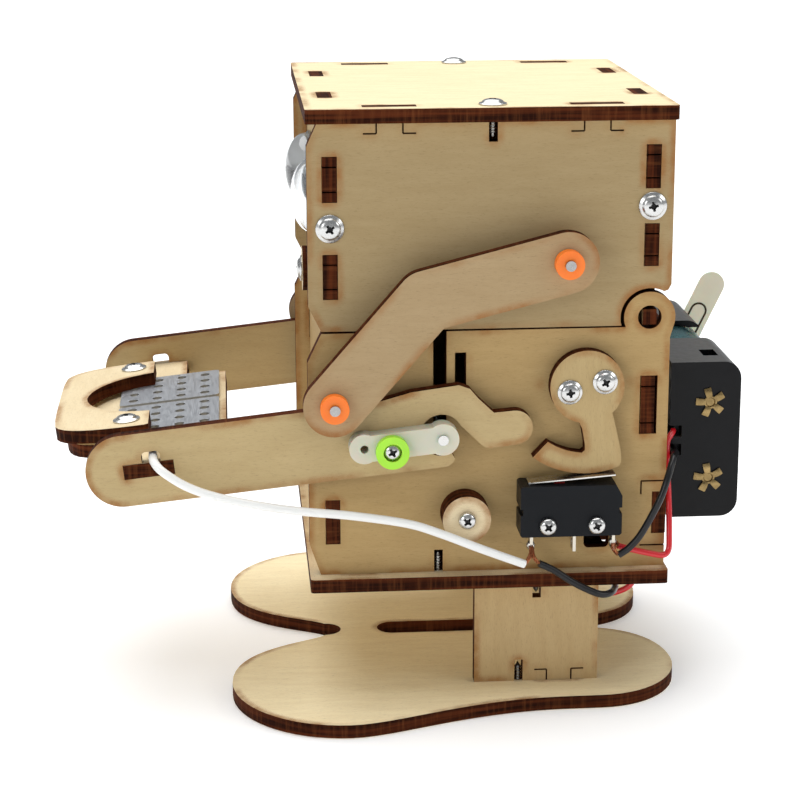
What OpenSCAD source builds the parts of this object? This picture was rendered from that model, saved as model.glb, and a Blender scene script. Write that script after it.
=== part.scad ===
// Coin-eating robot kit: plywood plates, a hinged head, a coin tray on two arms,
// bent links between arms and head, and a geared cam that works a limit switch.
// Left is the robot's own left, at -Y. The robot faces -X.

/* [Plywood] */
// Thickness of every plywood plate
ply = 2.7; // [2.5:0.1:2.9]
// Clearance on each side of a tab in its slot
tab_gap = 0.1; // [0.05:0.05:0.15]

/* [Box] */
// Length of the head and the body from front to rear
box_l = 70; // [69:0.5:72]
// Distance between the outer faces of the side panels
box_w = 74; // [73:0.5:75]
// How far the top plate and the floor plate stand out past the side panels
lip = 3.2; // [3:0.1:3.4]
// Height of the body's side panels
body_h = 48.4; // [48:0.1:48.8]
// Height of the head's side panels
head_h = 40; // [39.5:0.1:41]
// Gap between the closed head and the body
mouth_gap = 0.4; // [0.3:0.05:0.5]

/* [Legs and foot] */
// Height of the legs between foot plate and floor plate
leg_h = 22.7; // [22.5:0.1:24]
// Length of each leg plate from front to rear
leg_l = 25; // [24:0.5:26]
// Distance between the outer faces of the legs
leg_span = 65; // [64:0.5:65]

/* [Arms] */
// How far the arms dip at rest
arm_tilt = 6.2; // [6:0.1:6.4]
// Distance from the arm axle to the front end of an arm
arm_reach = 68.3; // [67.5:0.1:69]
// Diameter of the steel axles and pins
rod_d = 2; // [1.9:0.05:2]

/* [Cam] */
// Outer radius of the cam's arc
cam_r = 17.3; // [17:0.05:17.3]
// Radius of the cam's round head
cam_head_r = 7.2; // [7:0.1:7.3]

/* [Battery holder] */
// Length of the holder along the cells
holder_l = 57.5; // [57.5:0.5:59]
// Height of the holder across the two cells
holder_h = 32; // [31.5:0.5:33]
// Depth of the holder
holder_d = 14.1; // [13.9:0.1:14.5]

/* [Hidden] */
$fn = 48;

// Heights, from the ground up
floor_z = ply + leg_h;
body_z = floor_z + ply;
body_top = body_z + body_h;
head_z = body_top + mouth_gap;
head_top_z = head_z + head_h;

// Side faces
side = box_w / 2;
inner = side - ply;
plate_edge = side + lip;
leg_face = leg_span / 2;

// Front and rear panels
front_x = 3.2;
rear_x = 64.6;
door_x = 67.4;
hinge_x = rear_x + ply / 2;
hinge_z = head_z + 1.6;
ear_r = 5;
notch_r = 5.7;
hinge_hole_r = 2.3;
peg_h = 3;
slit = 0.3;

// Screws
shank_r = 0.8;
shank_hole_r = 0.85;
washer_r = 2.7;
pan_r = 1.7;
screw_l = 7;

// Arm axle, links
hub_x = 25.4;
hub_z = body_z + 28.85;
arm_gap = 0.9;
arm_y = side + arm_gap;
link_gap = 0.3;
link_y = arm_y + ply + link_gap;
link_r = 5.9;
rod_r = rod_d / 2;
rod_hole_r = rod_r + 0.06;
pivot_p = [-19.8, 9];
pivot_q = [49, head_z + 13.8];
link_bend = [22.3, head_z + 7];
open_pivot_r = rod_r + 0.35;
sleeve_r = 2.75;
sleeve_l = 2.2;
crank_t = 3.4;

// Tray, in the arms' own frame
slot_u = [-61, -51.5];
slot_v = [-0.7, 2];
tray_v = slot_v[0];
contact_t = 1;
guide_v = tray_v + ply + contact_t;
tray_screw = [-60.6, 21];

// Cam and gearmotor
cam_x = 53.6;
cam_z = body_z + 37.6;
cam_y = side + 0.4;
horn_r = 5.2;
shaft_r = 1.5;
motor_w = 12;
motor_h = 10;
gearbox_l = 9;
can_l = 15;
flange_t = 1.5;
blind_wall = 1.1;
gearbox_y = -inner + flange_t;

// Limit switch
switch_x = 40.5;
switch_z = body_z + 8.6;
switch_l = 19.8;
switch_h = 10.2;
switch_t = 6.4;
switch_holes = [45.8, 55.3];
lever_pivot = [42.4, switch_z + switch_h + 0.3];
lever_rise = 4.4;
lever_t = 0.25;
lever_l = 17.2;

// Battery holder
holder_z = body_z + 23.2;
tape_t = 2.1;
holder_x = door_x + ply + tape_t;
cell_x = holder_x + 8;
cell_pitch = 15.6;
cell_r = 7.1;
holder_wall = 1.5;
tab_tip = [92, head_z - 5.9];
tab_w = 5.8;
tab_lean = 64.7;

// Eyes
eye_z = head_z + 23;
eye_y = 17;
eye_r = 8;

// The origin is under the middle of the whole object
guide_front = 75.4;
min_x = hub_x - guide_front * cos(arm_tilt) - (guide_v + ply) * sin(arm_tilt);
max_x = tab_tip[0] + tab_w / 2;
centre_x = (min_x + max_x) / 2;

// Routes of the wires, in the same frame as the plates
white_route = [
  [-29.8, -22.8, 53.95], [-29.8, -31, 53.95], [-29.8, -38.6, 54], [-29.5, -42.3, 53.5], [-27.8, -44.2, 52],
  [-23.5, -44.6, 49.2], [-18, -44.6, 47], [-10, -44.5, 45], [-2, -44.4, 43.6], [8, -44.4, 42.4],
  [18.5, -44.6, 40.6], [25, -44.8, 38.4], [31.5, -44.6, 35.6], [36.5, -44, 33.4], [41.4, -43, 31.2]
];
black_battery_route = [
  [73.2, -27.2, 49.2], [73.1, -30.4, 49.4], [72.4, -34, 50.2], [71.2, -37.8, 50.3], [69.9, -40.2, 47.8],
  [68.4, -41.3, 43.9], [66.5, -41.5, 39.9], [64.3, -41.5, 35.9], [62.2, -41.4, 33.4], [60.2, -41.2, 31.9]
];
red_motor_route = [
  [63.4, -31, 30.3], [63.8, -31, 27], [65, -31, 23.4], [64.2, -30.6, 21.4], [61.5, -29.4, 19.8],
  [58.4, -27.6, 19], [54, -25, 18.8], [49.5, -22, 20], [47.3, -20.2, 22.6], [47, -20, 26],
  [47, -19.6, 31], [47.6, -16, 42], [49.4, -9, 54], [50.3, -5.2, 62], [50.4, -5.2, 65], [50.4, -6.75, 65.7]
];
black_motor_route = [
  [44.3, -42.8, 31.2], [47.3, -42.6, 29.6], [50.8, -42.6, 27.2], [54.2, -42.5, 25.3], [56.8, -42.2, 24.2],
  [58.9, -40.8, 24], [60.2, -37.6, 23.8], [61, -33.8, 23.6], [61.4, -31.1, 25.6], [61.4, -30.6, 29.5],
  [61.2, -28, 37], [60, -20, 48], [57.4, -9, 58], [56.8, -5.2, 63], [56.8, -5.2, 65.2], [56.8, -6.75, 65.7]
];
red_battery_route = [
  [73.2, -27.2, 53], [72.6, -29.4, 53.2], [71.3, -31, 51.6], [71.1, -32.6, 48], [70.95, -35, 43],
  [70.9, -36.6, 39], [70.8, -37.9, 35], [70.6, -38.7, 31.9], [69.4, -39.1, 30.9],
  [66.5, -39.1, 31.4], [63, -39.1, 32.3], [60.3, -39.3, 33.2]
];
white_wire_d = 1.7;
black_wire_d = 1.4;
red_wire_d = 1.2;

// ---- Helpers ----

// Points of an arc about c, from angle a0 to a1
function arc(c, r, a0, a1, n = 12) =
  [for (i = [0:n]) c + r * [cos(a0 + (a1 - a0) * i / n), sin(a0 + (a1 - a0) * i / n)]];

// Points of a cubic curve between a and d, without its two ends
function bow(a, b, c, d, n = 10) =
  [for (i = [1:n - 1]) let (t = i / n, s = 1 - t)
    s * s * s * a + 3 * s * s * t * b + 3 * s * t * t * c + t * t * t * d];

// One point of a smooth curve through p, between points i and i + 1
function spline_point(p, i, t) =
  let (a = p[max(i - 1, 0)], b = p[i], c = p[i + 1], d = p[min(i + 2, len(p) - 1)])
  0.5 * (2 * b + (c - a) * t + (2 * a - 5 * b + 4 * c - d) * t * t
    + (3 * b - a - 3 * c + d) * t * t * t);

function spline(p, steps) =
  [for (i = [0:len(p) - 2], k = [0:steps - 1]) spline_point(p, i, k / steps), p[len(p) - 1]];

function unit(v) = v / norm(v);

function tangent(p, i) = unit(p[min(i + 1, len(p) - 1)] - p[max(i - 1, 0)]);

// Side directions carried along the route without twist
function carried(p, i, last) =
  i == len(p) ? [] :
    let (t = tangent(p, i), s = unit(last - (last * t) * t))
    concat([s], carried(p, i + 1, s));

module centred() {
  translate([-centre_x, 0, 0]) children();
}

// Stands an outline drawn in X and Z up as a plate from y to y + t
module upright(y, t = ply) {
  translate([0, y + t, 0]) rotate([90, 0, 0]) linear_extrude(t) children();
}

// Stands an outline drawn in Y and Z up as a plate from x to x + t
module crosswise(x, t = ply) {
  translate([x, 0, 0]) rotate([90, 0, 90]) linear_extrude(t) children();
}

module flat(z, t = ply) {
  translate([0, 0, z]) linear_extrude(t) children();
}

module mirrored() {
  mirror([0, 1, 0]) children();
}

module both() {
  children();
  mirrored() children();
}

// Puts a shape drawn about the arm axle into the arms' dipped rest position
module on_arms() {
  translate([hub_x, 0, hub_z]) rotate([0, -arm_tilt, 0]) children();
}

module box2(x0, x1, y0, y1) {
  translate([x0, y0]) square([x1 - x0, y1 - y0]);
}

module round_box2(x0, x1, y0, y1, r) {
  polygon(concat(
    arc([x1 - r, y0 + r], r, -90, 0, 6), arc([x1 - r, y1 - r], r, 0, 90, 6),
    arc([x0 + r, y1 - r], r, 90, 180, 6), arc([x0 + r, y0 + r], r, 180, 270, 6)));
}

// A slot for a tab, with clearance all round
module slot2(x0, x1, y0, y1) {
  box2(x0 - tab_gap, x1 + tab_gap, y0 - tab_gap, y1 + tab_gap);
}

// Thin L-shaped relief cuts on both sides of a tab that rises at z0; up is 1 or -1
module relief(x0, x1, z0, up) {
  for (end = [[x0, 1], [x1, -1]]) {
    foot = end[0] + end[1] * 2.5;
    box2(foot - slit / 2, foot + slit / 2, min(z0, z0 - up * 2.3), max(z0, z0 - up * 2.3));
    box2(min(end[0], foot), max(end[0], foot), z0 - up * 2.3 - slit / 2, z0 - up * 2.3 + slit / 2);
  }
}

// Self-tapping screw: the head sits on z = 0 and points up
module screw(head_r, l = screw_l, washer = true) {
  difference() {
    union() {
      cylinder(r = head_r, h = washer ? 0.6 : 1.5);
      if (washer) cylinder(r = head_r * 0.72, h = 1.9);
      translate([0, 0, -l]) cylinder(r = shank_r, h = l + 0.1);
    }
    for (a = [0, 90]) rotate(a) translate([-1.2, -0.25, 0.9]) cube([2.4, 0.5, 2]);
  }
}

module screw_left(x, z, y, head_r, l = screw_l, washer = true) {
  translate([x, y, z]) rotate([90, 20, 0]) screw(head_r, l, washer);
}

module tube(route, d, steps, sides = 8) {
  p = spline(route, steps);
  n = len(p);
  first = abs(tangent(p, 0)[2]) < 0.8 ? [0, 0, 1] : [1, 0, 0];
  s = carried(p, 0, first);
  rings = [for (i = [0:n - 1], k = [0:sides - 1])
    let (t = tangent(p, i), w = cross(t, s[i]), a = 360 * k / sides)
    p[i] + d / 2 * (cos(a) * s[i] + sin(a) * w)];
  walls = [for (i = [0:n - 2], k = [0:sides - 1]) let (q = (k + 1) % sides)
    each [[i * sides + k, (i + 1) * sides + k, (i + 1) * sides + q],
      [i * sides + k, (i + 1) * sides + q, i * sides + q]]];
  start = [[for (k = [0:sides - 1]) k]];
  end = [[for (k = [sides - 1:-1:0]) (n - 1) * sides + k]];
  polyhedron(points = rings, faces = concat(start, walls, end));
}

// ---- Foot and legs ----

toe_front = [-15.7, -28.5];
toe_side = [7, -52.3];
heel_side = [57.5, -41.4];
heel_back = [75, -22.4];
instep = [11.6, 3.9];
sole_gap = 3.4;
leg_x = 32.9;
foot_tab = [45.1, 55.1];
foot_screw_x = 41.9;
cable_slot = [60, 68.4, -32.6, -29.2];

// One shoe's edge, from the instep round the toe and the heel to the gap
function shoe_edge(front, back) = let (waist = [49, -41.5]) concat(
  bow(front, [0.5, -7.4], [-15.7, -10], toe_front, 16),
  [toe_front], bow(toe_front, [-15.7, -41.6], [-5.5, -52.3], toe_side, 16),
  [toe_side], bow(toe_side, [16, -52.3], [30, -42], waist, 12),
  [waist, heel_side], bow(heel_side, [67.2, -41.4], [75, -32.9], heel_back, 14),
  [heel_back], bow(heel_back, [75, -11], [68.2, -sole_gap], back, 14), [back]);

// Both shoes and the instep between them, as one outline
module soles2() {
  gap_front = instep[0] - instep[1] - sole_gap;
  gap_back = instep[0] + instep[1] + sole_gap;
  edge = shoe_edge([gap_front, -sole_gap], [58, -sole_gap]);
  polygon(concat(edge, arc([gap_back, 0], sole_gap, 270, 90),
    [for (i = [len(edge) - 1:-1:0]) [edge[i][0], -edge[i][1]]],
    arc([gap_front, 0], sole_gap, 90, -90)));
}

module foot_plate() {
  color("burlywood") centred() difference() {
    flat(0) soles2();
    for (s = [-1, 1]) {
      y0 = s * (leg_face - ply / 2);
      translate([0, 0, -1]) linear_extrude(ply + 2)
        slot2(foot_tab[0], foot_tab[1], y0 - ply / 2, y0 + ply / 2);
      translate([foot_screw_x, y0, -1]) cylinder(r = shank_hole_r, h = ply + 2);
      translate([foot_screw_x, y0, -0.01]) cylinder(r1 = 1.85, r2 = shank_hole_r, h = 1.25);
    }
  }
}

module leg() {
  top_tab = [leg_x + 3, leg_x + 9];
  color("burlywood") centred() upright(-leg_face) difference() {
    union() {
      box2(leg_x, leg_x + leg_l, ply, floor_z);
      box2(foot_tab[0], foot_tab[1], 0.05, ply + 1);
      for (x = [leg_x + 3, leg_x + leg_l - 9]) box2(x, x + 6, floor_z - 1, body_z);
    }
    relief(foot_tab[0], foot_tab[1], ply, -1);
    box2(foot_screw_x - shank_hole_r, foot_screw_x + shank_hole_r, 0, ply + 4.5);
    box2(leg_x + leg_l / 2 - shank_hole_r, leg_x + leg_l / 2 + shank_hole_r, floor_z - 5, body_z);
  }
}

module leg_left() {
  leg();
}

module leg_right() {
  mirrored() leg();
}

module floor_plate() {
  color("burlywood") centred() flat(floor_z) difference() {
    round_box2(0, box_l + 0.4, -plate_edge, plate_edge, 0.8);
    for (s = [-1, 1]) {
      mid = s * (side - ply / 2);
      leg_mid = s * (leg_face - ply / 2);
      for (x = floor_tabs) slot2(x[0], x[1], mid - ply / 2, mid + ply / 2);
      for (x = [leg_x + 3, leg_x + leg_l - 9]) slot2(x, x + 6, leg_mid - ply / 2, leg_mid + ply / 2);
      translate([floor_screw_x, mid]) circle(r = shank_hole_r);
      translate([leg_x + leg_l / 2, leg_mid]) circle(r = shank_hole_r);
      for (x = [front_x, rear_x]) slot2(x, x + ply, s * 18 - 5, s * 18 + 5);
    }
    round_box2(cable_slot[0], cable_slot[1], cable_slot[2], cable_slot[3], 1);
    translate([47, -20]) circle(r = 1.6);
    round_box2(60.4, 63.6, -21.4, -12.5, 0.8);
  }
}

// ---- Body ----

floor_tabs = [[6, 16], [57.2, 63.6]];
floor_screw_x = 25.2;
side_slots_front = [[34.4, 43.2], [59.3, 67.9]];
rear_slot = [55.2, 66.9];
door_notch = [34.8, 43.4];
door_slits = [45.6, 32.4];
stop_x = 30.2;
stop_z = body_z + 12.2;
spare_slot = [28.3, 30.5];

module body_side() {
  upright(-side) difference() {
    union() {
      polygon(concat(
        [[2.1, body_z], [box_l, body_z], [box_l, hinge_z - 4]],
        arc([hinge_x, hinge_z], ear_r, -20, 202, 28),
        [[2.7, body_top], [0, body_top - 5.6], [0, body_z + 6.2]]));
      for (t = floor_tabs) box2(t[0], t[1], floor_z + 0.05, body_z + 1);
    }
    translate([hinge_x, hinge_z]) circle(r = hinge_hole_r);
    for (z = side_slots_front) slot2(front_x, front_x + ply, z[0], z[1]);
    box2(rear_x - 0.2, rear_x + ply + 0.5, rear_slot[0], rear_slot[1]);
    box2(door_x - tab_gap, box_l + 1, door_notch[0], door_notch[1]);
    for (z = door_slits) box2(65.1, box_l + 1, z - slit / 2, z + slit / 2);
    box2(65.1 - slit / 2, 65.1 + slit / 2, door_slits[0] - 2.7, door_slits[0]);
    translate([hub_x, hub_z + 0.27]) circle(r = 1.3);
    box2(hub_x - 1.3, hub_x + 1.3, hub_z + 0.27, body_top + 1);
    box2(spare_slot[0], spare_slot[1], hub_z + 4, body_top - 4.2);
    box2(floor_screw_x - shank_hole_r, floor_screw_x + shank_hole_r, floor_z, body_z + 4.5);
    translate([stop_x, stop_z]) circle(r = shank_hole_r);
  }
}

module body_left_panel() {
  color("burlywood") centred() difference() {
    body_side();
    upright(-side - 1, ply + 2) {
      translate([cam_x, cam_z]) circle(r = horn_r + 0.4);
      round_box2(53.9, 58.9, body_z + 4.1, body_z + 8, 1);
      for (x = switch_holes) translate([x, switch_z + 2.3]) circle(r = shank_hole_r);
    }
    upright(-side + blind_wall, ply) for (s = [-1, 1])
      translate([cam_x + s * 9, cam_z]) circle(r = 0.65);
  }
}

module body_right_panel() {
  color("burlywood") centred() mirrored() body_side();
}

module body_front_panel() {
  color("burlywood") centred() crosswise(front_x) union() {
    box2(-inner, inner, body_z, body_top);
    for (s = [-1, 1]) {
      box2(s * 18 - 5, s * 18 + 5, floor_z + 0.05, body_z + 1);
      for (z = side_slots_front) box2(min(0, s * side), max(0, s * side), z[0], z[1]);
    }
  }
}

module body_rear_panel() {
  color("burlywood") centred() crosswise(rear_x) difference() {
    union() {
      box2(-inner, inner, body_z, body_top - 1.2);
      box2(-side, side, rear_slot[0] + tab_gap, rear_slot[1] - tab_gap);
      for (s = [-1, 1]) box2(s * 18 - 5, s * 18 + 5, floor_z + 0.05, body_z + 1);
    }
    round_box2(-24, 24, body_z + 3.5, body_z + 23, 2);
    for (s = [-1, 1]) for (z = [rear_slot[0] + 2.2, rear_slot[1] - 2.2])
      box2(min(s * inner, s * side + s), max(s * inner, s * side + s), z - slit / 2, z + slit / 2);
  }
}

module rear_door() {
  color("burlywood") centred() crosswise(door_x) union() {
    box2(-inner + tab_gap, inner - tab_gap, body_z, body_top - 0.4);
    box2(-side, side, door_notch[0] + tab_gap, door_notch[1] - tab_gap);
  }
}

module body_screws() {
  color("silver") centred() {
    both() {
      translate([floor_screw_x, side - ply / 2, floor_z]) rotate([180, 0, 0]) screw(washer_r);
      translate([leg_x + leg_l / 2, leg_face - ply / 2, body_z]) screw(washer_r);
      screw_left(stop_x, stop_z, -side - 2 * ply, pan_r + 0.05, 8, false);
      translate([foot_screw_x, leg_face - ply / 2, 0.05]) {
        cylinder(r1 = 1.75, r2 = shank_r, h = 1.1);
        cylinder(r = shank_r, h = 6.5);
      }
    }
    for (x = switch_holes)
      screw_left(x, switch_z + 2.3, -side - switch_t, pan_r, 9.5, false);
  }
}

module arm_stop_discs() {
  color("tan") centred() both() for (k = [0, 1])
    upright(-side - (k + 1) * ply) difference() {
      translate([stop_x, stop_z]) circle(r = 4.7);
      translate([stop_x, stop_z]) circle(r = shank_hole_r);
    }
}

// ---- Gearmotor inside the body ----

module motor_bracket() {
  color("white") centred() translate([cam_x, -inner, cam_z]) difference() {
    union() {
      translate([-10.7, 0, -6.2]) cube([21.4, flange_t, 12.4]);
      translate([-motor_w / 2 - 1.2, 0, -6.2]) cube([motor_w + 2.4, flange_t + 7, 12.4]);
    }
    translate([-motor_w / 2 - 0.05, flange_t, -motor_h / 2 - 0.05])
      cube([motor_w + 0.1, 20, motor_h + 0.1]);
    rotate([-90, 0, 0]) translate([0, 0, -1]) cylinder(r = 3.5, h = 4);
    for (s = [-1, 1]) translate([s * 9, -1, 0]) rotate([-90, 0, 0]) cylinder(r = 0.65, h = 4);
  }
}

module motor_screws() {
  color("silver") centred() for (s = [-1, 1])
    translate([cam_x + s * 9, -inner + flange_t, cam_z]) rotate([-90, 0, 0]) {
      cylinder(r = 1.4, h = 1);
      translate([0, 0, -flange_t - ply + blind_wall + 0.1])
        cylinder(r = 0.6, h = flange_t + ply - blind_wall);
    }
}

// Motor outline: a round can with two flats
module can2(r) {
  intersection() {
    circle(r = r);
    square([2 * r, motor_h], center = true);
  }
}

module motor_can() {
  color("lightgray") centred() translate([cam_x, gearbox_y + gearbox_l, cam_z]) rotate([-90, 0, 0]) {
    linear_extrude(can_l) can2(motor_w / 2);
    translate([0, 0, can_l]) cylinder(r = 2.4, h = 0.8);
    for (s = [-1, 1]) translate([s * 3.2 - 0.8, -0.6, can_l - 1]) cube([1.6, 0.4, 3]);
  }
}

module gearbox_plates() {
  color("goldenrod") centred() translate([cam_x, gearbox_y, cam_z]) rotate([-90, 0, 0])
    for (z = [0, 4.2, 8.2]) difference() {
      translate([-motor_w / 2, -motor_h / 2, z]) cube([motor_w, motor_h, 0.8]);
      translate([0, 0, z - 1]) cylinder(r = shaft_r + 0.06, h = 3);
      if (z == 4.2) for (g = gear_spots) translate([g[0], g[1], z - 1]) cylinder(r = 0.5, h = 3);
    }
}

module gear2(teeth, r) {
  polygon([for (i = [0:teeth * 4 - 1])
    let (a = 360 * i / (teeth * 4), q = i % 4 < 2 ? r : r - 0.45) q * [cos(a), sin(a)]]);
}

gear_spots = [[-3.7, 2.6, 1.2], [3.7, 2.6, 2.6], [-3.7, -2.6, 6.6]];

module gearbox_gears() {
  color("gold") centred() translate([cam_x, gearbox_y, cam_z]) rotate([-90, 0, 0])
    for (g = gear_spots) translate([g[0], g[1], 0]) {
      translate([0, 0, g[2]]) linear_extrude(1.2) gear2(12, 1.9);
      translate([0, 0, 0.8]) cylinder(r = 0.5, h = 7.4);
    }
}

// ---- Battery holder ----

module holder_profile2() {
  z0 = holder_z - holder_h / 2;
  z1 = holder_z + holder_h / 2;
  x1 = holder_x + holder_d;
  r = 3.5;
  polygon(concat([[holder_x, z0]], arc([x1 - r, z0 + r], r, -90, 0, 8),
    arc([x1 - r, z1 - r], r, 0, 90, 8), [[holder_x, z1]]));
}

finger_w = 16;

module battery_holder() {
  bay_l = holder_l - 2 * holder_wall;
  color("dimgray") centred() difference() {
    upright(-holder_l / 2, holder_l) holder_profile2();
    for (s = [-1, 1]) {
      z = holder_z + s * cell_pitch / 2;
      translate([cell_x, -bay_l / 2, z]) rotate([-90, 0, 0]) cylinder(r = cell_r + 0.2, h = bay_l);
      translate([cell_x, -bay_l / 2, z - cell_r + 0.4]) cube([20, bay_l, 2 * cell_r - 0.8]);
      translate([holder_x - 1, -holder_l / 2 - 1, holder_z + s * 1.9 - 1.2]) cube([3.4, 3.5, 2.4]);
      translate([cell_x, -holder_l / 2 - 1, z]) rotate([-90, 0, 0])
        cylinder(r = 0.9, h = holder_l + 2);
    }
    translate([cell_x + 3, -bay_l / 2, holder_z - 1]) cube([20, bay_l, 2]);
    for (s = [-1, 1]) translate([holder_x + 2, -finger_w / 2, holder_z + s * 17 - 5])
      cube([20, finger_w, 10]);
    translate([cell_x - 0.5, -23.4, holder_z + 14]) cube([3, 5, 4]);
  }
}

module holder_tape() {
  color("white") centred() translate([door_x + ply, -24, holder_z - 12]) cube([tape_t, 48, 24]);
}

module battery_cells() {
  color("steelblue") centred() for (s = [-1, 1])
    translate([cell_x, s * 0.9, holder_z + s * cell_pitch / 2]) rotate([s * -90, 0, 0]) {
      translate([0, 0, -25]) cylinder(r = cell_r, h = 49.5);
      translate([0, 0, 24.5]) cylinder(r = 2.7, h = 1);
    }
}

module petal_rivet() {
  for (k = [0:4]) rotate(72 * k + 18) translate([1.4, -0.7, 0]) cube([1.9, 1.4, 0.4]);
  cylinder(r = 1.5, h = 0.5);
}

module battery_contacts() {
  bay_l = holder_l - 2 * holder_wall;
  color("goldenrod") centred() for (s = [-1, 1], e = [-1, 1])
    translate([cell_x, e * holder_l / 2, holder_z + s * cell_pitch / 2]) {
      rotate([e * -90, 0, 0]) petal_rivet();
      translate([-4, e < 0 ? holder_wall : -holder_wall - 0.35, -4]) cube([8, 0.35, 8]);
      if (s * e < 0) rotate([e * 90, 0, 0]) translate([0, 0, holder_wall + 0.3])
        cylinder(r1 = 3.2, r2 = 2.2, h = 2.8);
      translate([0, e < 0 ? -0.1 : -holder_wall - 0.1, 0]) rotate([-90, 0, 0])
        cylinder(r = 0.7, h = holder_wall + 0.2);
    }
}

module pull_tab() {
  l = 19;
  y = holder_l / 2 - holder_wall - 0.36 - 0.4;
  color("whitesmoke") centred() translate([tab_tip[0], y + 0.3, tab_tip[1]]) rotate([90, 0, 0])
    linear_extrude(0.3) rotate(tab_lean - 180) difference() {
      union() {
        circle(r = tab_w / 2);
        box2(0, l, -tab_w / 2, tab_w / 2);
      }
      difference() {
        union() {
          translate([6.4, 0]) circle(r = 1.9);
          box2(6.4, 15, -1.9, 1.9);
        }
        translate([6.4, 0]) circle(r = 1.45);
        box2(6.4, 16, -1.45, 1.45);
      }
    }
}

// ---- Limit switch ----

module switch_case() {
  x1 = switch_x + switch_l;
  z1 = switch_z + switch_h;
  color("dimgray") centred() difference() {
    upright(-side - switch_t, switch_t) polygon([
      [switch_x, switch_z + 0.4], [switch_x + 0.4, switch_z], [x1 - 0.4, switch_z], [x1, switch_z + 0.4],
      [x1, z1 - 2.2], [x1 - 1.2, z1], [switch_x + 0.4, z1], [switch_x, z1 - 0.4]]);
    for (x = switch_holes) translate([x, -side + 1, switch_z + 2.3]) rotate([90, 0, 0])
      cylinder(r = shank_hole_r + 0.2, h = switch_t + 2);
    translate([switch_x - 1, -side - switch_t - 1, switch_z + 4.4]) cube([1.5, switch_t + 2, 1.2]);
    translate([x1 - 0.5, -side - switch_t - 1, switch_z + 4.4]) cube([1.5, switch_t + 2, 1.2]);
    translate([47.2, -side - 4.3, z1 - 2]) cube([2.2, 2.2, 3]);
  }
}

module switch_terminals() {
  color("silver") centred() for (x = [42.9, 51.3, 59]) difference() {
    translate([x - 0.3, -side - 4.8, switch_z - 3.6]) cube([0.6, 3.2, 3.6]);
    translate([x - 1, -side - 3.2, switch_z - 2.2]) rotate([0, 90, 0]) cylinder(r = 0.7, h = 2);
  }
}

module switch_lever() {
  color("silver") centred() translate([lever_pivot[0], -side - 5, lever_pivot[1]])
    rotate([0, -lever_rise, 0]) union() {
      translate([0, 0, -lever_t / 2]) cube([lever_l - 0.4, 3.6, lever_t]);
      rotate([-90, 0, 0]) cylinder(r = lever_t, h = 3.6);
    }
}

module switch_plunger() {
  color("firebrick") centred() translate([47.3, -side - 4.2, switch_z + switch_h - 1.2])
    cube([2, 2, 1.5]);
}

// ---- Wires ----

module white_wire() {
  color("white") centred() tube(white_route, white_wire_d, 2);
}

module black_battery_wire() {
  color("black") centred() tube(black_battery_route, black_wire_d, 1);
}

module black_motor_wire() {
  color("black") centred() tube(black_motor_route, black_wire_d, 1);
}

module red_battery_wire() {
  color("red") centred() tube(red_battery_route, red_wire_d, 1);
}

module red_motor_wire() {
  color("red") centred() tube(red_motor_route, red_wire_d, 1);
}

// ---- Cam ----

module output_shaft() {
  color("silver") centred() translate([cam_x, -side + 0.2, cam_z]) rotate([-90, 0, 0]) {
    cylinder(r = shaft_r, h = gearbox_y + gearbox_l + side - 0.6);
    translate([0, 0, gearbox_y + side + 5.3]) linear_extrude(1) gear2(20, 3.2);
  }
}

module output_horn() {
  color("white") centred() translate([cam_x, -cam_y + 0.05, cam_z]) rotate([-90, 0, 0]) difference() {
    cylinder(r = horn_r, h = ply);
    translate([0, 0, 0.4]) cylinder(r = shaft_r, h = 9);
    for (s = [-1, 1]) translate([s * 3.4, -s * 0.95, -1]) cylinder(r = shank_r, h = 9);
  }
}

module cam() {
  color("burlywood") centred() upright(-cam_y - ply) translate([cam_x, cam_z]) difference() {
    polygon(concat(
      arc([0, 0], cam_head_r, -47, 258, 36),
      [[-0.9, -8.2], [-0.3, -11.4], [-0.3, -12.6], [-0.9, -13.1]],
      arc([0, 0], 13.1, 260, 235, 8),
      arc([0, 0], cam_r, 233, 289, 20),
      [[6.5, -15.9], [6.9, -15.1], [6.7, -12.6], [5.3, -6.6]]));
    for (s = [-1, 1]) translate([s * 3.4, s * 0.95]) circle(r = shank_hole_r);
  }
}

module cam_screws() {
  color("silver") centred() for (s = [-1, 1])
    screw_left(cam_x + s * 3.4, cam_z + s * 0.95, -cam_y - ply, 2.4, 5.4);
}

// ---- Arms and tray ----

finger = [14.3, -0.4];
finger_r = 3.4;
pin_boss_r = 4.6;
hub_notch_r = 4.1;
arm_top = 8;
arm_low = -6.1;

module arm2() {
  mid = (arm_top + arm_low) / 2;
  r = (arm_top - arm_low) / 2;
  difference() {
    union() {
      polygon(concat(
        arc([r - arm_reach, mid], r, 90, 270, 28),
        [[0.6, arm_low - 0.3], [1.7, arm_low + 0.4], [2.1, -5], [1.5, -3.6], [0.8, -3.9]],
        [[0, 0], [2.9, 2.6], [7.6, -3.1], [8.6, -3.8]],
        arc(finger, finger_r, -90, 90, 16),
        [[10.5, 3.1], [7.8, 6.3], [6.4, 8.4], [4.4, 9.4], [-4.8, 9.2], [-12, arm_top]]));
      translate(pivot_p) circle(r = pin_boss_r);
    }
    circle(r = hub_notch_r);
    translate(pivot_p) circle(r = rod_r);
    translate([-9.9, -0.9]) circle(r = shank_hole_r);
    slot2(slot_u[0], slot_u[1], slot_v[0], slot_v[1]);
    round_box2(-57.4, -53.8, slot_v[1] - 1, 4.2, 0.9);
  }
}

module arm_left() {
  color("burlywood") centred() on_arms() upright(-arm_y - ply) arm2();
}

module arm_right() {
  color("burlywood") centred() on_arms() upright(arm_y) arm2();
}

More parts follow.
